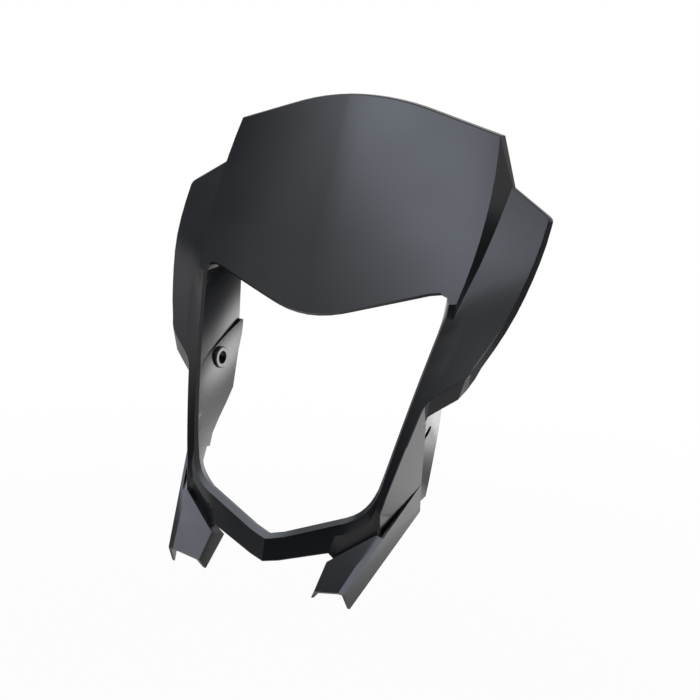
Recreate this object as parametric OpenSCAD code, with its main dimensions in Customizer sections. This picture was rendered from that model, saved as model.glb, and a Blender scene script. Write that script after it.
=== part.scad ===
// Headlight cowl: one thin moulding that frames a headlight on a small
// off-road motorcycle. A raked visor with a centre crease sits above two
// swept wings, slim side rails run down to a V-shaped chin band, and a
// hollow prong stands forward at each lower corner. Behind each rail a
// cheek plate carries a bored boss for the side screws.
//
// Frame: X to the right, Y to the rear, Z up, millimetres. The origin is
// midway between the two cheek bosses, on their common axis.

/* [Wall] */
// Thickness of the moulded wall
wall = 2.2; // [1.8:0.1:2.4]
// Half width of the small bevel along outer edges
edge_soft = 0.8; // [0.4:0.1:1]
// Width of the rim strip next to the opening edge
rim_w = 5; // [4.5:0.5:5.5]

/* [Headlight opening] */
// Half width between the upper corners
open_top_half = 104.8; // [102:0.2:106]
// Height of the upper corners above the boss axis
open_top_z = 77; // [75:1:79]
// Height at which the two upper edges would meet at the centre
open_peak_z = 44.5; // [40:0.5:48]
// Half length of the rounding at the upper centre
open_peak_run = 29; // [20:1:40]
// Rounding of the upper corners, measured along each edge
open_top_run = 20; // [18:0.5:24]
// Half width between the lower corners
open_low_half = 74.3; // [73:0.1:76]
// Height of the lower corners, below the boss axis
open_low_z = -79; // [-81:0.5:-77]
// Rounding of the lower corners, measured along each edge
open_low_run = 18; // [14:1:20]
// Height at which the two lower edges would meet at the centre
open_toe_z = -108.5; // [-112:0.5:-106]
// Half length of the rounding at the lower centre
open_toe_run = 10; // [6:1:14]
// Width of the bevelled lip along the sides of the opening
lip_side = 2; // [2:0.1:2.4]
// Width of the bevelled lip along the chin of the opening
lip_chin = 3.2; // [2.5:0.1:3.8]
// Depth of the return wall behind the chin lip
chin_return = 4; // [4:0.5:7]
// Depth of the return wall above the opening
brow_return = 7; // [5:0.5:9]

/* [Visor] */
// Depth of the crease at the level of visor_datum_z
visor_y = -20.5; // [-23:0.5:-19]
// Height at which the depth of the visor is given
visor_datum_z = 49; // [47:1:51]
// Backward rake of the crease, in degrees
visor_rake = 22; // [20:0.5:24]
// Sweep of each half at the datum, in degrees
visor_sweep = 1.7; // [0.5:0.1:3]
// Growth of the sweep towards the top, per millimetre
visor_twist = 0.0007; // [0.0005:0.0001:0.0009]
// Crown radius of each half
visor_crown_r = 833; // [700:1:1000]
// Half width of the visor at its upper corners
visor_half = 107; // [105:0.5:109]
// Height of the upper corners
visor_corner_z = 178; // [174:1:182]
// Height at which the two upper edges would meet
visor_peak_z = 208.5; // [204:0.5:212]
// Half length of the rounding at the top centre
visor_peak_run = 55; // [45:1:60]
// Outward bulge of the side edges
visor_bulge = 5; // [3.5:0.5:6]
// Depth of the return along the top edge
visor_return = 6; // [4:0.5:8]

/* [Wings] */
// Distance from the centre to the foot of the step, where the wing starts
foot_x = 119.6; // [118.6:0.2:120.6]
// Height of that foot
foot_z = 144; // [142:1:147]
// Outward bulge of the foot line
foot_bulge = 1.7; // [0.5:0.1:2.5]
// Distance from the centre to the upper outer corner
wing_top_x = 151; // [148:0.5:154]
// Height of the upper outer corner
wing_top_z = 125; // [122:1:128]
// Rounding of the upper outer corner, measured along each edge
wing_top_run = 4; // [3:0.5:6]
// Outward bulge of the outer edge
wing_bulge = 6; // [4:0.5:8]
// Distance from the centre to the lower outer corner
wing_low_x = 124; // [121:0.5:127]
// Height of the lower outer corner
wing_low_z = 20.4; // [18:0.2:23]
// Rounding of the lower outer corner, measured along each edge
wing_low_run = 7; // [4:0.5:9]
// Distance from the centre to the root, where wing and rail meet
root_x = 98.4; // [97.4:0.2:100]
// Height of the root
root_z = 1.5; // [0:0.5:4]
// Rounding of the root, measured along each edge
root_run = 8; // [5:0.5:10]
// Depth of the upper outer corner
wing_y = 45.6; // [43:0.2:48]
// Backward rake of the upper wing, in degrees
wing_rake = 29.7; // [28:0.1:31.5]
// Sweep of the upper wing, in degrees
wing_top_sweep = 11.9; // [10.5:0.1:13.5]
// Sweep of the lower wing at the boss level, in degrees
wing_sweep = 8.5; // [7:0.5:10]
// Growth of that sweep with height, per millimetre
wing_twist = 0.0036; // [0.003:0.0002:0.0042]
// Height at which the lower form starts to run into the upper one
wing_blend_z = 50; // [45:1:55]
// Height over which the two forms run into each other
wing_blend_h = 45; // [40:1:50]
// Depth of the return at the upper outer corner
wing_return_top = 4; // [3.4:0.2:6]
// Depth of the return at the lower outer corner
wing_return_low = 9; // [7:0.5:11]
// Height of the bevel under the lower edge of the wing
wing_bevel = 12.5; // [10:0.5:14]

/* [Side rails] */
// Depth of the rail at the boss level
rail_y = -25.7; // [-28:0.1:-24]
// Backward rake of the rail, in degrees
rail_rake = 18; // [16:0.5:20]
// Radius of the bow of the rail, seen from the side
rail_bow_r = 833; // [700:1:1000]
// Distance from the centre to the lower end of the rail crease
rail_low_x = 80.3; // [79.4:0.1:82]
// Height of the lower end of the rail crease
rail_low_z = -76.8; // [-79:0.2:-74]
// Distance from the centre to the free edge of the skirt
skirt_x = 97.4; // [96.4:0.2:99]
// Depth of the free edge of the skirt
skirt_y = -21; // [-23:0.5:-19]
// Height of the lower end of the skirt
skirt_low_z = -78; // [-82:1:-75]

/* [Chin band] */
// Depth of the chin at the centre
chin_y = -64.5; // [-67:0.5:-62]
// Backward sweep of the chin, per millimetre of half width
chin_sweep = 0.19; // [0.16:0.01:0.22]
// Height of the band at the centre
chin_h = 17.5; // [15:0.5:20]
// Half width of the band where it steps down to the pocket
band_half = 47.6; // [46:0.2:49]
// Height of the lower edge of the band at that step
band_end_z = -108.5; // [-111:0.5:-106]
// How far the lower edge of the band stands in front of its upper edge
chin_lean = 3; // [2:0.5:4]
// Half length of the rounding of the lower edge at the centre
chin_run = 8; // [5:1:11]
// Depth of the pocket beside the band
pocket_d = 3.6; // [2.6:0.2:4.4]
// Width of the step strip between band and pocket
step_run = 4; // [3:0.5:5]
// Depth of the pocket in the middle of its face
pocket_mid = 2.4; // [1:0.2:2.8]
// Depth of the return under the band
band_return = 7; // [5:0.5:9]

/* [Prongs] */
// Distance from the centre to the inner edge of the prong
prong_in_x = 48.2; // [47:0.2:49.4]
// Distance from the centre to the outer edge at the tip
prong_out_x = 73; // [71.5:0.5:75]
// Depth of the tip
prong_tip_y = -78.4; // [-80:0.5:-74]
// Height of the tip
prong_tip_z = -125.4; // [-131:0.5:-124]
// How much lower the inner corner of the tip lies than the outer one
prong_slant = 4.6; // [3:0.2:6]
// How much further back the inner corner of the tip lies
prong_slant_y = 2.7; // [1.5:0.1:4]
// Length of the inner edge
prong_in_len = 22.4; // [19:0.2:25]
// Forward lean of the inner edge from the vertical, in degrees
prong_rake = 43; // [40:0.5:46]
// Distance from the centre to the shoulder of the plate
shoulder_x = 79.5; // [78.5:0.5:80.5]
// Depth of the shoulder
shoulder_y = -48.9; // [-51:0.2:-47]
// Height of the shoulder
shoulder_z = -90.6; // [-93:0.2:-88.6]
// Width of the bevel along the outer edge
prong_bevel = 4; // [3:0.2:5]
// Width of the outer flange at the tip
prong_out_flange = 14; // [12:0.5:16]
// Width of the inner flange
prong_in_flange = 8.5; // [7:0.5:10]
// Height at which the outer flange runs out on the skirt
fin_top_z = -58; // [-62:0.5:-54]

/* [Cheeks and bosses] */
// Distance from the centre to the rear edge, above the bosses
cheek_x_top = 87; // [85:0.5:88.5]
// Distance from the centre to the rear edge, where it starts to run forward
cheek_x_turn = 88.5; // [87:0.5:90]
// Distance from the centre to the rear edge, at the lower end
cheek_x_low = 93; // [91.5:0.2:93.8]
// Depth of the rear edge, above the bosses
cheek_y = 26; // [24:0.5:28]
// Lean of the rear edge beside the bosses, in degrees
cheek_lean = 10.5; // [8:0.5:13]
// Height at which the rear edge starts to run forward
cheek_turn_z = -28; // [-32:1:-24]
// Depth of the rear edge at that height
cheek_turn_y = 18; // [15:0.5:21]
// Depth of the lower rear corner
cheek_low_y = -1; // [-4:0.5:3]
// Height of the lower rear corner
cheek_low_z = -58; // [-62:1:-54]
// Lean of the rear edge below its lower corner, in degrees
cheek_low_lean = 19; // [15:1:24]
// How far the rear of the lower field of the cheek stands inwards
field_raise = 2.6; // [1.8:0.2:3]
// How far the upper rear tip of that field stands out past the rear edge
field_tip = 2.5; // [1:0.5:3]
// Height of the upper edge of that field at the boss axis
field_z = 11.6; // [10.6:0.2:13]
// Rise of that edge towards the rear, in degrees
field_slope = 29; // [24:1:32]
// Outer diameter of the boss
boss_d = 16.5; // [14:0.5:18]
// Bore of the boss
bore_d = 10; // [8:0.2:10.6]
// Distance from the centre to the inner face of the boss
boss_face_x = 84.5; // [83:0.5:86]
// Length of the groove low on the outside of the cheek
slot_l = 15; // [12:0.5:16]
// Width of that groove
slot_w = 2.6; // [2:0.2:3.2]
// Depth of that groove
slot_depth = 1.1; // [0.8:0.1:1.3]
// Distance of that groove below the boss axis
slot_r = 29; // [26:0.5:30]

/* [Hidden] */
$fn = 64;
face_cols = 7;
inner_cols = 3;
return_cols = 2;
visor_steps = 10;
corner_steps = 3;
edge_steps = 8;
rail_steps = 6;
low_steps = 6;
band_steps = 4;

// Vector helpers
function mix(a, b, t) = a + (b - a) * t;
function unit(v) = v / norm(v);
function mitre(a, b) = (a + b) / (1 + a * b);
function bend(a, c, b, t) = mix(mix(a, c, t), mix(c, b, t), t);
function span(a, b, n) = [for (i = [1 : n]) mix(a, b, i / n)];
function swap(p) = [-p[0], p[1], p[2]];

// Depth of the skin behind a front-view point x, z
function visor_depth(x, z) =
    let (h = z - visor_datum_z)
    visor_y + h * tan(visor_rake) + x * (tan(visor_sweep) + visor_twist * h)
    + x * x / (2 * visor_crown_r);
function rail_x(z) =
    mix(open_low_half, open_top_half, (z - open_low_z) / (open_top_z - open_low_z));
function rail_depth(z) = rail_y + z * tan(rail_rake) + z * z / (2 * rail_bow_r);
function ease(t) = let (u = min(1, max(0, t))) u * u * (3 - 2 * u);
function wing_low_depth(x, z) =
    rail_depth(z) + (x - rail_x(z)) * (tan(wing_sweep) + wing_twist * z);
function wing_top_depth(x, z) =
    wing_y + (z - wing_top_z) * tan(wing_rake) + (x - wing_top_x) * tan(wing_top_sweep);
function wing_depth(x, z) =
    mix(wing_low_depth(x, z), wing_top_depth(x, z), ease((z - wing_blend_z) / wing_blend_h));
function chin_depth(x) = chin_y + chin_sweep * x;

// Straight edge from a centre value, rounded near the centre
function vee(x, z0, x1, z1, run) =
    let (slope = (z1 - z0) / x1)
    z0 + slope * x + slope * pow(max(0, run - x), 2) / (2 * run);

// Opening edge, right half, from the top centre to the bottom centre
function open_top(x) = vee(x, open_peak_z, open_top_half, open_top_z, open_peak_run);
function open_toe(x) = vee(x, open_toe_z, open_low_half, open_low_z, open_toe_run);
top_corner = [open_top_half, open_top_z];
low_corner = [open_low_half, open_low_z];
side_dir = unit(low_corner - top_corner);
top_in = [open_top_half, open_top_z]
    - open_top_run * unit([open_top_half, open_top_z - open_peak_z]);
top_out = top_corner + open_top_run * side_dir;
low_in = low_corner - open_low_run * side_dir;
low_out = low_corner + open_low_run * unit([-open_low_half, open_toe_z - open_low_z]);

// Each list below holds the right half, station by station, from the top
// centre round the side to the bottom centre. The open_ lists hold front-view
// points of the opening edge, the outer_ lists those of the outer edge.
open_visor = [for (i = [0 : visor_steps]) let (x = top_in[0] * i / visor_steps) [x, open_top(x)]];
open_turn = [for (i = [1 : corner_steps])
    bend(top_in, top_corner, top_out, i / (corner_steps + 1))];
function visor_top(x) = vee(x, visor_peak_z, visor_half, visor_corner_z, visor_peak_run);
turn_x = visor_half - 6;
outer_visor = [for (i = [0 : visor_steps]) let (x = turn_x * i / visor_steps) [x, visor_top(x)]];
outer_turn = [for (x = span(turn_x, visor_half, corner_steps)) [x, visor_top(x)]];

// Wing: top edge, upper corner, outer edge, lower corner, lower edge, root
foot = [foot_x, foot_z];
wing_top = [wing_top_x, wing_top_z];
wing_low = [wing_low_x, wing_low_z];
root = [root_x, root_z];
rail_low = [rail_low_x, rail_low_z];
corner_a = wing_top + wing_top_run * unit(foot - wing_top);
edge_a = wing_top + wing_top_run * unit(wing_low - wing_top);
edge_b = wing_low + wing_low_run * unit(wing_top - wing_low);
corner_b = wing_low + wing_low_run * unit(root - wing_low);
root_a = root + root_run * unit(wing_low - root);
root_b = root + root_run * unit(rail_low - root);
outer_wing = concat(
    [foot, mix(foot, corner_a, 0.5)],
    [for (i = [0 : corner_steps - 1]) bend(corner_a, wing_top, edge_a, i / corner_steps)],
    [for (i = [0 : edge_steps - 1]) let (t = i / edge_steps)
        mix(edge_a, edge_b, t) + [4 * wing_bulge * t * (1 - t), 0]],
    [for (i = [0 : corner_steps]) bend(edge_b, wing_low, corner_b, i / corner_steps)],
    [mix(corner_b, root_a, 0.5)],
    [for (i = [0 : corner_steps]) bend(root_a, root, root_b, i / corner_steps)]);
wing_n = len(outer_wing) - 1;
low_edge_i = 2 + corner_steps + edge_steps;
open_root = [rail_x(root_b[1]), root_b[1]];
open_wing = [for (i = [0 : wing_n]) mix(top_out, open_root, i / wing_n)];

open_rail = span(open_root, low_in, rail_steps);
outer_rail = span(root_b, rail_low, rail_steps);
open_low = [for (i = [1 : low_steps]) bend(low_in, low_corner, low_out, i / low_steps)];
chin_x = low_out[0] - step_run;
open_chin = [for (i = [0 : band_steps]) let (x = chin_x * (1 - i / band_steps)) [x, open_toe(x)]];

// Prong: corners of the plate, its normal and its outer and free edges
shoulder = [shoulder_x, shoulder_y, shoulder_z];
tip_out = [prong_out_x, prong_tip_y, prong_tip_z];
tip_in = [prong_in_x, prong_tip_y + prong_slant_y, prong_tip_z - prong_slant];
top_in_edge = tip_in + prong_in_len * [0, sin(prong_rake), cos(prong_rake)];
plate_up = unit(cross(shoulder - top_in_edge, top_in_edge - tip_in));
plate_side = unit(tip_in - tip_out);
plate_out_tip = tip_out + prong_bevel * plate_side + prong_bevel * 0.4 * plate_up;
fin_top = [skirt_x + 0.4, skirt_y, fin_top_z];
fin_low = [skirt_x + 0.2, skirt_y + 1, skirt_low_z];
flange_tip = tip_out + prong_out_flange * unit([1, 5, -9]);
inner_flange = prong_in_flange * unit([-5, 4, -8]);
inner_flange_top = prong_in_flange * 1.4 * unit([-4, 10.7, -4]);

// Skin points in space, right half
function lift(p, y) = [p[0], y, p[1]];
function on_visor(p) = lift(p, visor_depth(p[0], p[1]));
function on_wing(p) = lift(p, wing_depth(p[0], p[1]));
pocket_into = unit(cross(shoulder - top_in_edge, plate_up));
pocket_shift = wall / 2 * pocket_into - pocket_d * plate_up;
pocket_a = shoulder + pocket_shift;
pocket_b = mix(shoulder, top_in_edge, 0.88) + pocket_shift;
rail_end = on_wing(rail_low);
outer_low = [mix(rail_end, pocket_a, 0.35), mix(rail_end, pocket_a, 0.7), pocket_a,
    mix(pocket_a, pocket_b, 0.4), mix(pocket_a, pocket_b, 0.75), pocket_b];
function band_low(x) =
    vee(x, open_toe(0) - chin_h, band_half, band_end_z, chin_run);
outer_chin = [for (i = [0 : band_steps]) let (x = band_half * (1 - i / band_steps))
    [x, chin_depth(x) - chin_lean, band_low(x)]];

edge_o = concat(
    [for (p = concat(open_visor, open_turn)) on_visor(p)],
    [for (p = concat(open_wing, open_rail)) lift(p, rail_depth(p[1]))],
    [for (i = [0 : low_steps - 1]) let (p = open_low[i])
        lift(p, mix(rail_depth(p[1]), chin_depth(p[0]), (i + 1) / low_steps))],
    [for (p = open_chin) lift(p, chin_depth(p[0]))]);
edge_q = concat(
    [for (p = concat(outer_visor, outer_turn)) on_visor(p)],
    [for (p = concat(outer_wing, outer_rail)) on_wing(p)],
    outer_low, outer_chin);
half_n = len(edge_o);
visor_n = len(open_visor) + len(open_turn);
wing_end = visor_n + wing_n;
rail_end_i = wing_end + rail_steps;
low_end_i = rail_end_i + low_steps;

// Direction along the loop at one station of the right half
function after(h, i) = i < len(h) - 1 ? h[i + 1] : swap(h[len(h) - 2]);
function before(h, i) = i > 0 ? h[i - 1] : swap(h[1]);
function along(h, i) = unit(after(h, i) - before(h, i));
function away(h, i) = let (t = along(h, i)) unit([-t[2], 0, t[0]]);

// Free edge of the outer return, right half
function out_back(d) = d * unit([1, 5, -1]);
bevel_drop = [-0.08, 0.12, -1] * wing_bevel;
edge_s = [for (i = [0 : half_n - 1]) let (q = edge_q[i], w = i - visor_n)
    i < visor_n - 1 ? q + visor_return * [0, 1, 0.06] :
    w < 0 ? q + visor_return * unit([1, 4, 0]) :
    w <= low_edge_i ? q + out_back(mix(wing_return_top, wing_return_low, w / low_edge_i)) :
    w <= low_edge_i + corner_steps ?
        q + mix(out_back(wing_return_low), bevel_drop, (w - low_edge_i) / corner_steps) :
    w <= wing_n - corner_steps ? q + bevel_drop :
    w <= wing_n ? mix(q + bevel_drop, [skirt_x + 1, skirt_y, q[2] - wing_bevel],
        (w - wing_n + corner_steps) / corner_steps) :
    i <= rail_end_i ?
        [mix(skirt_x + 1, skirt_x, (w - wing_n) / rail_steps), skirt_y,
         mix(root_b[1] - wing_bevel, skirt_low_z + 3, (w - wing_n) / rail_steps)] :
    i <= rail_end_i + 2 ?
        mix([skirt_x, skirt_y, skirt_low_z + 3], pocket_a - plate_up * band_return,
            (i - rail_end_i) / 3) :
    q + band_return * unit(mix([0, 1, 0.1], -plate_up, max(0, (low_end_i - i) / (low_steps - 2))))];

// Bevelled lip and free edge of the inner return, right half
lip = [for (i = [0 : half_n - 1])
    mix(lip_side, lip_chin, ease((i - rail_end_i + 2) / (low_steps - 2)))];
edge_l = [for (i = [0 : half_n - 1]) edge_o[i] + lip[i] * ([0, 1, 0] - away(edge_o, i))];
function cheek_x(z) = z > cheek_turn_z ?
    mix(cheek_x_turn, cheek_x_top, (z - cheek_turn_z) / (open_top_z - cheek_turn_z)) :
    mix(cheek_x_low, cheek_x_turn, max(0, (z - cheek_low_z) / (cheek_turn_z - cheek_low_z)));
function cheek_rear(z) =
    z > cheek_turn_z ? min(cheek_y, cheek_turn_y + (z - cheek_turn_z) * tan(cheek_lean)) :
    z > cheek_low_z ?
        mix(cheek_low_y, cheek_turn_y, (z - cheek_low_z) / (cheek_turn_z - cheek_low_z)) :
    cheek_low_y + (z - cheek_low_z) * tan(cheek_low_lean);
function cheek_edge(z) = [cheek_x(z), cheek_rear(z), z];
function back_lean(i) = mix(0.04, 0.25, ease((i - rail_end_i) / low_steps));
function plain_return(i, d) = edge_l[i] + d * ([0, 1, 0] + back_lean(i) * away(edge_o, i));
cheek_top_z = open_top_z - 4;
cheek_end_z = open_low_z + 8;
cheek_foot = cheek_edge(open_low_z - 3);
function cheek_z(z) = mix(cheek_top_z, cheek_end_z,
    (edge_o[visor_n][2] - z) / (edge_o[visor_n][2] - edge_o[rail_end_i][2]));
edge_r = [for (i = [0 : half_n - 1])
    i < visor_n - corner_steps - 2 ? plain_return(i, brow_return) :
    i < visor_n + 1 ? mix(plain_return(i, brow_return), cheek_edge(cheek_top_z),
        (i - visor_n + corner_steps + 3) / (corner_steps + 3)) :
    i <= rail_end_i ? cheek_edge(cheek_z(edge_o[i][2])) :
    i < low_end_i ?
        mix(cheek_foot, plain_return(i, chin_return), pow((i - rail_end_i) / low_steps, 0.8)) :
    plain_return(i, chin_return)];

// Face columns between the opening edge and the outer edge
rim = [for (i = [0 : half_n - 1])
    let (w = i < visor_n ? 0 : min(1, (i - visor_n) / wing_n),
        o = edge_o[i],
        p = o + rim_w * away(edge_o, i),
        f = i < visor_n ? on_visor([p[0], p[2]]) : on_wing([p[0], p[2]]))
    mix(f, mix(o, edge_q[i], 0.3), w)];
function face(i, t) =
    let (p = mix(rim[i], edge_q[i], t), b = 4 * t * (1 - t))
    i < visor_n ? on_visor([p[0] + visor_bulge * b * pow(i / (visor_n - 1), 3), p[2]]) :
    i < wing_end ? on_wing([p[0] + foot_bulge * b * pow(1 - (i - visor_n) / wing_n, 3), p[2]]) :
    i <= low_end_i ?
        p - pocket_mid * b * ease((i - rail_end_i) / 3) * plate_up : p;
face_k = [for (k = [1 : face_cols]) [for (i = [0 : half_n - 1]) face(i, k / (face_cols + 1))]];
edge_qa = [for (i = [0 : half_n - 1]) let (v = face_k[face_cols - 1][i] - edge_q[i])
    edge_q[i] + min(edge_soft, norm(v) / 2) * unit(v)];
edge_qb = [for (i = [0 : half_n - 1]) edge_q[i] + edge_soft * unit(edge_s[i] - edge_q[i])];

// Inner skin: every crease moved in by one wall, measured square to its faces
function square(h, i, d) = unit(cross(along(h, i), d));
n_ret = [for (i = [0 : half_n - 1]) square(edge_o, i, edge_l[i] - edge_r[i])];
n_lip = [for (i = [0 : half_n - 1]) square(edge_o, i, edge_o[i] - edge_l[i])];
n_rim = [for (i = [0 : half_n - 1]) square(edge_o, i, rim[i] - edge_o[i])];
n_face = [for (i = [0 : half_n - 1]) square(edge_q, i, edge_q[i] - face_k[face_cols - 1][i])];
n_out = [for (i = [0 : half_n - 1]) square(edge_q, i, edge_s[i] - edge_q[i])];
in_r = [for (i = [0 : half_n - 1]) edge_r[i] - wall * n_ret[i]];
in_l = [for (i = [0 : half_n - 1]) edge_l[i] - wall * mitre(n_ret[i], n_lip[i])];
in_o = [for (i = [0 : half_n - 1]) edge_o[i] - wall * mitre(n_lip[i], n_rim[i])];
in_q = [for (i = [0 : half_n - 1]) edge_q[i] - wall * mitre(n_face[i], n_out[i])];
in_s = [for (i = [0 : half_n - 1]) edge_s[i] - wall * n_out[i]];
in_k = [for (k = [1 : inner_cols]) let (t = k / (inner_cols + 1))
    [for (i = [0 : half_n - 1])
        mix(in_o[i], in_q[i], t) + face(i, t) - mix(edge_o[i], edge_q[i], t)]];

// Closed loft: each column is a half loop, mirrored into a full one
function loop(h) = concat(h, [for (i = [len(h) - 2 : -1 : 1]) swap(h[i])]);
module ring_loft(columns) {
    m = len(columns);
    loops = [for (c = columns) loop(c)];
    n = len(loops[0]);
    points = [for (c = loops) each c];
    faces = [for (c = [0 : m - 1]) for (i = [0 : n - 1])
        let (a = c * n + i, b = c * n + (i + 1) % n,
            d = ((c + 1) % m) * n + i, e = ((c + 1) % m) * n + (i + 1) % n)
        each (i < n / 2 ? [[a, e, b], [a, d, e]] : [[a, d, b], [b, d, e]])];
    polyhedron(points, faces);
}

// Open loft between sections that have the same number of points
module section_loft(sections) {
    m = len(sections[0]);
    n = len(sections);
    points = [for (s = sections) each s];
    sides = [for (j = [0 : n - 2]) for (k = [0 : m - 1])
        let (a = j * m + k, b = j * m + (k + 1) % m, d = a + m, e = b + m)
        each [[a, e, b], [a, d, e]]];
    caps = [for (k = [0 : m / 2 - 2])
        let (a = k, b = k + 1, c = m - 2 - k, d = m - 1 - k, top = (n - 1) * m)
        each [[a, b, c], [a, c, d], [top + a, top + c, top + b], [top + a, top + d, top + c]]];
    polyhedron(points, concat(sides, caps));
}

function between(a, b, t) = [for (i = [0 : half_n - 1]) mix(a[i], b[i], t)];
module skin() {
    steps = [for (k = [1 : return_cols]) k / (return_cols + 1)];
    ring_loft(concat(
        [edge_r], [for (t = steps) between(edge_r, edge_l, t)], [edge_l, edge_o, rim], face_k,
        [edge_qa, edge_qb, edge_s, in_s, in_q],
        [for (k = [inner_cols - 1 : -1 : 0]) in_k[k]],
        [in_o, in_l], [for (t = steps) between(in_l, in_r, t)], [in_r]));
}

// Sections of the prong, with the inner flange, the plate and its bevel, then
// back along the inside. The last one closes the prong against the pocket.
function prong_section(a, b, c, d) = [
    a, b, c, d,
    d + wall * (plate_side - 0.8 * plate_up),
    c + wall * (plate_side - 1.6 * plate_up) / 2,
    b - wall * (plate_side + plate_up),
    a - wall * plate_side];

seat_part = 0.07;
seat_depth = 6;
module prong() {
    top_t = prong_in_len / norm(shoulder - plate_out_tip);
    b2 = mix(shoulder, top_in_edge, seat_part);
    d2 = mix(tip_out, fin_top, 0.5);
    section_loft([
        prong_section(tip_in + inner_flange, tip_in, plate_out_tip, tip_out),
        prong_section(top_in_edge + inner_flange_top, top_in_edge,
            mix(plate_out_tip, shoulder, top_t), mix(tip_out, d2, top_t)),
        [b2 - seat_depth * plate_up, b2, shoulder, d2, d2 + wall * plate_side - seat_depth * plate_up,
         shoulder - seat_depth * 1.1 * plate_up, b2 - (seat_depth + 1) * plate_up - plate_side,
         b2 - (seat_depth + 0.8) * plate_up - plate_side]]);
    // Outer flange, from the tip up to the skirt of the rail
    section_loft([for (q = [[tip_out, flange_tip], [fin_top, fin_low]])
        [q[0], q[1], q[1] + wall * plate_side, q[0] + wall * plate_side]]);
}

// Raised lower field of the cheek: a thin pad on the inner face of the cheek
// plate, below a line that rises towards the rear. It reaches into the wall.
field_inset = 0.02;
field_tip_rows = 8;
function at(h, t) = let (i = min(floor(t), rail_end_i - 1)) mix(h[i], h[i + 1], t - i);
function above_field(p) = p[2] - field_z - p[1] * tan(field_slope);
function first_below(i) = above_field(edge_r[i]) < 0 ? i : first_below(i + 1);
module field() {
    i = first_below(visor_n);
    h0 = above_field(edge_r[i - 1]);
    t0 = i - 1 + h0 / (h0 - above_field(edge_r[i]));
    stops = concat([mix(t0, i, 0.3)], [for (j = [i : rail_end_i - 1]) j], [rail_end_i - 0.1]);
    into_wall = [wall / 2, 0, 0];
    section_loft([for (t = stops)
        let (l = at(edge_l, t),
            r = at(edge_r, t),
            u = max(field_inset, above_field(l) / (above_field(l) - above_field(r))),
            past = field_tip * (1 - ease((t - t0) / field_tip_rows)),
            a = mix(l, r, u),
            b = mix(l, r, 1 - field_inset) + [0, past, 0])
        [a + into_wall, a - [field_raise * u, 0, 0], b - [field_raise, 0, 0], b + into_wall]]);
}

// Boss with a chamfered mouth, from its face to the outside of the cheek
boss_soft = 0.8;
boss_seat_x = 92;
module boss() {
    translate([boss_face_x, 0, 0]) rotate([0, 90, 0]) {
        cylinder(d1 = boss_d - 2 * boss_soft, d2 = boss_d, h = boss_soft);
        translate([0, 0, boss_soft])
            cylinder(d = boss_d, h = boss_seat_x - boss_face_x - boss_soft);
    }
}

// Bore of the boss, and the groove below it on the outside of the cheek
bore_from = boss_face_x - 4;
bore_len = boss_seat_x - boss_face_x + 8;
groove_angle = 38;
groove_y = 1;
groove_z = -slot_r;
groove_x = cheek_x(groove_z) - slot_depth;
module cheek_cuts() {
    translate([bore_from, 0, 0]) rotate([0, 90, 0]) cylinder(d = bore_d, h = bore_len);
    translate([groove_x, groove_y, groove_z]) rotate([groove_angle, 0, 0]) {
        for (end = [-1, 1])
            translate([0, end * (slot_l - slot_w) / 2, 0])
                rotate([0, 90, 0]) cylinder(d = slot_w, h = wall * 2);
        translate([0, -(slot_l - slot_w) / 2, -slot_w / 2]) cube([wall * 2, slot_l - slot_w, slot_w]);
    }
}

module cowl() {
    color("#26272a") difference() {
        union() {
            skin();
            for (side = [0, 1]) mirror([side, 0, 0]) {
                prong();
                field();
                boss();
            }
        }
        for (side = [0, 1]) mirror([side, 0, 0]) cheek_cuts();
    }
}

cowl();
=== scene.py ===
# %% [markdown]
# # A moulded headlight cowl
# The object is one thin moulding in satin black plastic. A raked visor with a
# centre crease stands over the headlight opening, two swept wings stand beside
# it, slim rails run down to a pointed chin, and a prong stands out below each
# lower corner. This lesson takes the exact shape from the CAD frame, rounds its
# edges as a mould does, and spends the rest of its time on the plastic and on
# the light, because a black part is seen mostly by what it reflects.

# %% Load the CAD frame
import math

import bpy
import numpy as np
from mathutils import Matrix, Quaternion, Vector


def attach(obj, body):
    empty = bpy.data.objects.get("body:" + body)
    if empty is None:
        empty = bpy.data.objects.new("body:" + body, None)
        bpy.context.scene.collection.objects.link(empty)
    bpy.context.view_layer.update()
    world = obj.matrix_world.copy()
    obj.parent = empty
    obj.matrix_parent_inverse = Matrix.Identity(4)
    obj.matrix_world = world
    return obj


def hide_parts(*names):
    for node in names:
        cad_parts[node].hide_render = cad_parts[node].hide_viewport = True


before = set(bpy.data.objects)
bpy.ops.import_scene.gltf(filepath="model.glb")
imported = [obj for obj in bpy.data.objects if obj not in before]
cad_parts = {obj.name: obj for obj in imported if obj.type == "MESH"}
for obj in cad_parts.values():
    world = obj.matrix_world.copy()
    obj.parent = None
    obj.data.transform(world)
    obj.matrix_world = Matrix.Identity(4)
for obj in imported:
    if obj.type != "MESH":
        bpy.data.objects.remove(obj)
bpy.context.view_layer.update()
MM = 0.001

# %% [markdown]
# ## The camera
# The photograph was taken from the front right, a little above the boss axis.
# A camera is easiest to place by the point that it looks at: first the line of
# sight, then a small roll about that line, as a hand-held camera has.

# %% Camera at the photograph's viewing angle
CAMERA_PLACE = Vector((449.1, -773.6, 215.0)) * MM
CAMERA_TARGET = Vector((0.0, 46.0, 10.7)) * MM
CAMERA_ROLL = math.radians(2.87)
CAMERA_LENS = 65.03
SENSOR_WIDTH = 36.0

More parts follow.
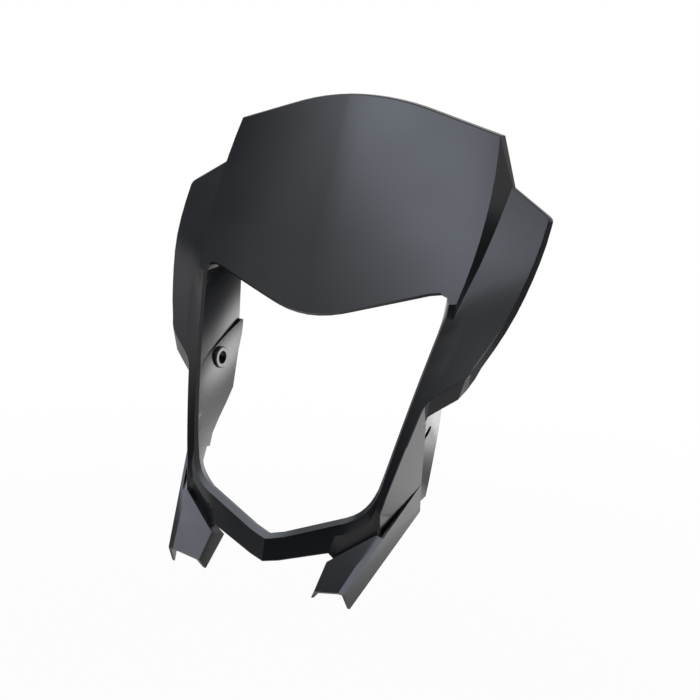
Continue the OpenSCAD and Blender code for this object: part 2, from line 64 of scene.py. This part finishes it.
bpy.ops.object.select_all(action="DESELECT")
bpy.ops.object.camera_add(location=CAMERA_PLACE)
camera = bpy.context.object
camera.name = "photo_camera"
sight = (CAMERA_TARGET - CAMERA_PLACE).to_track_quat("-Z", "Y")
camera.rotation_euler = (sight @ Quaternion((0, 0, 1), CAMERA_ROLL)).to_euler()
camera.data.lens = CAMERA_LENS
camera.data.sensor_width = SENSOR_WIDTH
camera.data.dof.use_dof = False
bpy.context.scene.camera = camera
print("camera distance:", round((CAMERA_TARGET - CAMERA_PLACE).length, 3), "m")

# %% [markdown]
# ## The moulding
# The CAD node already has the true form: creases, walls, bosses and bores. It
# comes as loose triangles, so a copy is merged into one skin first, and the
# node itself is left alone. Modelling the shell again would only risk a shape
# that differs from the solid.

# %% Copy the CAD node and merge its triangles
MERGE_DISTANCE = 0.004 * MM


def deselect_all():
    bpy.ops.object.select_all(action="DESELECT")


def copy_of_node(node, name):
    source = bpy.data.objects[node]
    deselect_all()
    piece = source.copy()
    piece.data = source.data.copy()
    piece.name = name
    piece.data.name = name
    bpy.context.scene.collection.objects.link(piece)
    piece.hide_set(False)
    piece.hide_render = False
    piece.select_set(True)
    bpy.context.view_layer.objects.active = piece
    bpy.ops.object.mode_set(mode="EDIT")
    bpy.ops.mesh.select_all(action="SELECT")
    bpy.ops.mesh.remove_doubles(threshold=MERGE_DISTANCE)
    bpy.ops.object.mode_set(mode="OBJECT")
    return piece


shell = copy_of_node("cowl", "cowl_shell")
print("merged skin:", len(shell.data.vertices), "points,", len(shell.data.polygons), "faces")

# %% [markdown]
# ## Round the edges
# A mould never leaves a knife edge, and a rounded edge catches a thin line of
# light. A bevel modifier with an angle limit rounds every real crease at once.
# The limit is high enough to leave most facets of the curved faces alone.

# %% Round the edges of the shell
BEVEL_ANGLE = math.radians(16)
EDGE_ROUND = 0.35 * MM
EDGE_SEGMENTS = 2


def round_edges(piece, width, angle):
    bevel = piece.modifiers.new("edge_round", "BEVEL")
    bevel.width = width
    bevel.segments = EDGE_SEGMENTS
    bevel.limit_method = "ANGLE"
    bevel.angle_limit = angle
    bevel.use_clamp_overlap = True
    bpy.ops.object.modifier_apply(modifier=bevel.name)


round_edges(shell, EDGE_ROUND, BEVEL_ANGLE)
print("skin with round edges:", len(shell.data.polygons), "faces")

# %% [markdown]
# ## Shade the shell
# Smooth shading joins the facets of each curved face into one surface. By
# itself it would also smear the narrow bevels over the long faces beside them.
# Weighted normals let the large faces keep their own direction, so the
# roundness stays on the edges and the long faces stay calm.

# %% Shade the shell
SMOOTH_ANGLE = math.radians(30)
LARGE_FACE_WEIGHT = 50


def favour_large_faces(piece):
    weighted = piece.modifiers.new("large_faces", "WEIGHTED_NORMAL")
    weighted.mode = "FACE_AREA"
    weighted.weight = LARGE_FACE_WEIGHT
    weighted.keep_sharp = True
    bpy.ops.object.modifier_apply(modifier=weighted.name)


deselect_all()
shell.select_set(True)
bpy.context.view_layer.objects.active = shell
bpy.ops.object.shade_smooth_by_angle(angle=SMOOTH_ANGLE)
favour_large_faces(shell)
print("shaded smooth up to", round(math.degrees(SMOOTH_ANGLE)), "degrees")

# %% [markdown]
# ## Calm the cheek fields
# The raised lower field of each cheek is one quiet face that twists a little
# from top to bottom. In the CAD node it is made of flat triangles that bend
# against each other, and plain shading shows them as facets. So the smooth
# surface that fits their corners best is worked out, and the field takes its
# shading direction from that. Only the shading changes: the mesh keeps its
# facets, because the dressed part has to keep the shape of the solid.

# %% Shade each raised field as one smooth surface
# The lengths here are in millimetres. The upper edge of the field rises to the
# rear from FIELD_Z. The inner skin of the wing lies further out than FIELD_DEPTH
# from the plane that FIELD_X places, and faces nearer than that are the field's.
FIELD_Z = 11.6
FIELD_SLOPE = math.radians(29)
FIELD_LOW_Z = -80.0
FIELD_X, FIELD_X_PER_Y, FIELD_X_PER_Z = 97.3, 0.43, 0.08
FIELD_DEPTH = 5.5
FIELD_FACING = 0.72
BOSS_CLEAR = 8.0


def on_field(face):
    x, y, z = face.center / MM
    below_step = FIELD_Z + y * math.tan(FIELD_SLOPE) - z
    off_plane = abs(x) - (FIELD_X + FIELD_X_PER_Y * y + FIELD_X_PER_Z * z)
    inside = below_step > 0 and z > FIELD_LOW_Z and off_plane < FIELD_DEPTH
    facing = -math.copysign(1.0, x) * face.normal.x
    return inside and math.hypot(y, z) > BOSS_CLEAR and facing > FIELD_FACING


# The surface gives the distance from the middle plane for each y and z.
def surface_terms(y, z):
    return np.stack([np.ones_like(y), y, z, y * z, z * z, y * y], axis=-1)


# Its slopes along y and z give the direction that it faces.
def slopes(surface, y, z):
    along_y = surface[1] + surface[3] * z + 2.0 * surface[5] * y
    along_z = surface[2] + surface[3] * y + 2.0 * surface[4] * z
    return along_y, along_z


def calm_fields(piece):
    mesh = piece.data
    field = [face for face in mesh.polygons if on_field(face)]
    points = np.array([mesh.vertices[i].co for face in field for i in face.vertices]) / MM
    terms = surface_terms(points[:, 1], points[:, 2])
    surface = np.linalg.lstsq(terms, np.abs(points[:, 0]), rcond=None)[0]
    normals = [Vector(corner.vector) for corner in mesh.corner_normals]
    for face in field:
        for corner in face.loop_indices:
            x, y, z = mesh.vertices[mesh.loops[corner].vertex_index].co / MM
            along_y, along_z = slopes(surface, y, z)
            normals[corner] = Vector((-math.copysign(1.0, x), along_y, along_z)).normalized()
    mesh.normals_split_custom_set(normals)
    return len(field)


print("faces shaded as one field:", calm_fields(shell))
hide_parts("cowl")
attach(shell, "root")

# %% [markdown]
# ## Satin black plastic
# Moulded plastic of this kind is a deep, slightly cool black with a soft sheen. The
# tool leaves a very fine grain, and handling leaves the sheen a little uneven,
# so the roughness wanders slowly over the part and a fine bump breaks the
# reflections. A clear black with one roughness would look like glass.

# %% Make the plastic
PLASTIC_COLOUR = (0.0055, 0.0060, 0.0078, 1.0)
PLASTIC_COLOUR_WORN = (0.0075, 0.0080, 0.0098, 1.0)
SHEEN_LOW, SHEEN_HIGH = 0.27, 0.33
MIRROR_SHARE = 0.375
PLASTIC_IOR = 1.5
GRAIN_SCALE, GRAIN_DETAIL = 2200.0, 2.0
GRAIN_HEIGHT = 0.004 * MM
FLOW_SCALE, FLOW_DETAIL = 14.0, 1.0
NOISE_LOW, NOISE_HIGH = 0.2, 0.8


def noise(tree, coordinates, scale, detail):
    node = tree.nodes.new("ShaderNodeTexNoise")
    node.inputs["Scale"].default_value = scale
    node.inputs["Detail"].default_value = detail
    tree.links.new(coordinates, node.inputs["Vector"])
    return node.outputs["Fac"]


def between(tree, factor, low, high):
    node = tree.nodes.new("ShaderNodeMapRange")
    node.interpolation_type = "SMOOTHSTEP"
    node.inputs["From Min"].default_value = NOISE_LOW
    node.inputs["From Max"].default_value = NOISE_HIGH
    node.inputs["To Min"].default_value = low
    node.inputs["To Max"].default_value = high
    tree.links.new(factor, node.inputs["Value"])
    return node.outputs["Result"]


def satin_plastic():
    material = bpy.data.materials.new("satin_black_plastic")
    material.use_nodes = True
    tree = material.node_tree
    surface = tree.nodes["Principled BSDF"]
    place = tree.nodes.new("ShaderNodeTexCoord").outputs["Object"]
    slow = noise(tree, place, FLOW_SCALE, FLOW_DETAIL)
    grain = noise(tree, place, GRAIN_SCALE, GRAIN_DETAIL)
    tint = tree.nodes.new("ShaderNodeMix")
    tint.data_type = "RGBA"
    tint.inputs["A"].default_value = PLASTIC_COLOUR
    tint.inputs["B"].default_value = PLASTIC_COLOUR_WORN
    tree.links.new(between(tree, slow, 0.0, 1.0), tint.inputs["Factor"])
    tree.links.new(tint.outputs["Result"], surface.inputs["Base Color"])
    tree.links.new(between(tree, slow, SHEEN_LOW, SHEEN_HIGH), surface.inputs["Roughness"])
    bump = tree.nodes.new("ShaderNodeBump")
    bump.inputs["Distance"].default_value = GRAIN_HEIGHT
    tree.links.new(grain, bump.inputs["Height"])
    tree.links.new(bump.outputs["Normal"], surface.inputs["Normal"])
    surface.inputs["IOR"].default_value = PLASTIC_IOR
    surface.inputs["Specular IOR Level"].default_value = MIRROR_SHARE
    return material


shell.data.materials.clear()
shell.data.materials.append(satin_plastic())
print("materials on the shell:", [m.name for m in shell.data.materials])

# %% [markdown]
# ## Floor and background
# The photograph shows the part alone on pure white. The floor lies well below
# the part, as under something that hangs from its screws. Its material is
# mostly plain white for the camera and for reflections, with a share of real
# diffuse white that keeps the part's shadow.

# %% Floor and world
FLOOR_Z = -0.45
FLOOR_SIZE = 12.0
FLOOR_WHITE = (0.94, 0.94, 0.94, 1.0)
FLOOR_PLAIN_NEAR = 0.95
SHADOW_REACH = (0.5, 1.8)
WORLD_LIGHT = 0.3


def seen_directly(tree):
    path = tree.nodes.new("ShaderNodeLightPath")
    first = tree.nodes.new("ShaderNodeMath")
    first.operation = "MAXIMUM"
    tree.links.new(path.outputs["Is Camera Ray"], first.inputs[0])
    tree.links.new(path.outputs["Is Glossy Ray"], first.inputs[1])
    second = tree.nodes.new("ShaderNodeMath")
    second.operation = "MAXIMUM"
    tree.links.new(first.outputs[0], second.inputs[0])
    tree.links.new(path.outputs["Is Transmission Ray"], second.inputs[1])
    return second.outputs[0]


def floor_material():
    material = bpy.data.materials.new("pale_floor")
    material.use_nodes = True
    tree = material.node_tree
    tree.nodes.clear()
    output = tree.nodes.new("ShaderNodeOutputMaterial")
    mix = tree.nodes.new("ShaderNodeMixShader")
    white = tree.nodes.new("ShaderNodeBsdfDiffuse")
    white.inputs["Color"].default_value = FLOOR_WHITE
    plain = tree.nodes.new("ShaderNodeEmission")
    place = tree.nodes.new("ShaderNodeTexCoord").outputs["Object"]
    distance = tree.nodes.new("ShaderNodeVectorMath")
    distance.operation = "LENGTH"
    tree.links.new(place, distance.inputs[0])
    plain_share = tree.nodes.new("ShaderNodeMapRange")
    plain_share.interpolation_type = "SMOOTHSTEP"
    plain_share.inputs["From Min"].default_value = SHADOW_REACH[0]
    plain_share.inputs["From Max"].default_value = SHADOW_REACH[1]
    plain_share.inputs["To Min"].default_value = FLOOR_PLAIN_NEAR
    plain_share.inputs["To Max"].default_value = 1.0
    tree.links.new(distance.outputs["Value"], plain_share.inputs["Value"])
    share = tree.nodes.new("ShaderNodeMath")
    share.operation = "MULTIPLY"
    tree.links.new(seen_directly(tree), share.inputs[0])
    tree.links.new(plain_share.outputs["Result"], share.inputs[1])
    tree.links.new(share.outputs[0], mix.inputs["Fac"])
    tree.links.new(white.outputs[0], mix.inputs[1])
    tree.links.new(plain.outputs[0], mix.inputs[2])
    tree.links.new(mix.outputs[0], output.inputs["Surface"])
    return material


def white_world():
    world = bpy.data.worlds.new("white_studio")
    world.use_nodes = True
    tree = world.node_tree
    background = tree.nodes["Background"]
    background.inputs["Color"].default_value = (1.0, 1.0, 1.0, 1.0)
    strength = tree.nodes.new("ShaderNodeMapRange")
    strength.inputs["To Min"].default_value = WORLD_LIGHT
    strength.inputs["To Max"].default_value = 1.0
    tree.links.new(seen_directly(tree), strength.inputs["Value"])
    tree.links.new(strength.outputs["Result"], background.inputs["Strength"])
    bpy.context.scene.world = world


deselect_all()
bpy.ops.mesh.primitive_plane_add(size=FLOOR_SIZE, location=(0.0, 0.0, FLOOR_Z))
floor = bpy.context.object
floor.name = "floor"
floor.data.materials.append(floor_material())
white_world()
bpy.context.scene.view_settings.view_transform = "Standard"
print("floor at", FLOOR_Z, "m")

# %% [markdown]
# ## Light
# Black plastic shows its form by what it reflects. Each face of the part looks
# into another direction of the studio, so each soft box has one job: the wide
# one in front and above lights the visor, the low one behind on the right
# shines along the inside of the left cheek, and the small one low on the right
# lights the faces that turn down and out. They are large, so their reflections
# stay soft.

# %% Soft boxes
# A box's power is its radiance times pi times its area.
LIT_POINT = Vector((0.0, 0.0, 0.03))
SOFT_BOXES = (
    # name, azimuth and elevation in degrees, distance, width, height, radiance, colour
    ("front_above", -152.0, 50.0, 1.6, 1.4, 0.5, 6.5, (0.78, 0.86, 1.0)),
    ("behind_right", 40.0, -14.0, 1.4, 0.6, 0.4, 12.0, (1.0, 1.0, 1.0)),
    ("low_right", 84.0, -24.0, 0.95, 0.6, 0.3, 8.0, (1.0, 1.0, 1.0)),
)


def direction(azimuth, elevation):
    a = math.radians(azimuth)
    e = math.radians(elevation)
    return Vector((math.sin(a) * math.cos(e), math.cos(a) * math.cos(e), math.sin(e)))


def soft_box(name, azimuth, elevation, distance, width, height, radiance, colour):
    place = LIT_POINT + distance * direction(azimuth, elevation)
    deselect_all()
    bpy.ops.object.light_add(type="AREA", location=place)
    lamp = bpy.context.object
    lamp.name = name
    lamp.data.shape = "RECTANGLE"
    lamp.data.size = width
    lamp.data.size_y = height
    lamp.data.energy = radiance * math.pi * width * height
    lamp.data.color = colour
    lamp.rotation_euler = (LIT_POINT - place).to_track_quat("-Z", "Y").to_euler()


for box in SOFT_BOXES:
    soft_box(*box)
print("soft boxes:", len(SOFT_BOXES))

# %% [markdown]
# ## Cards
# A photographer keeps a black part from greying with dark cards just outside
# the picture. One stands behind the camera and darkens the faces that look
# forward and down, and one hangs high on the left and darkens the inner faces
# of the prongs. The third is small and grey and stands close to the right wing:
# it keeps the low box behind off the side of the wing and off the upper part of
# the left cheek. The camera doesn't see the cards.

# %% Cards in front, on the left and on the right
CARDS = (
    # name, centre, turn about Z in degrees, width, height, grey
    ("card_front", (-0.1, -1.25, 0.0), 0.0, 2.6, 0.9, 0.01),
    ("card_left", (-0.99, -0.32, 0.62), 80.0, 0.9, 0.35, 0.01),
    ("card_right", (0.2, 0.13, 0.055), 90.0, 0.24, 0.18, 0.55),
)


def matt_card(name, grey):
    material = bpy.data.materials.new(name)
    material.use_nodes = True
    surface = material.node_tree.nodes["Principled BSDF"]
    surface.inputs["Base Color"].default_value = (grey, grey, grey, 1.0)
    surface.inputs["Roughness"].default_value = 1.0
    surface.inputs["Specular IOR Level"].default_value = 0.0
    return material


for name, centre, turn, width, height, grey in CARDS:
    deselect_all()
    bpy.ops.mesh.primitive_plane_add(size=1.0, location=centre,
                                     rotation=(math.pi / 2, 0.0, math.radians(turn)))
    card = bpy.context.object
    card.name = name
    card.scale = (width, height, 1.0)
    card.visible_camera = False
    card.data.materials.append(matt_card(name + "_matt", grey))
print("cards:", len(CARDS))
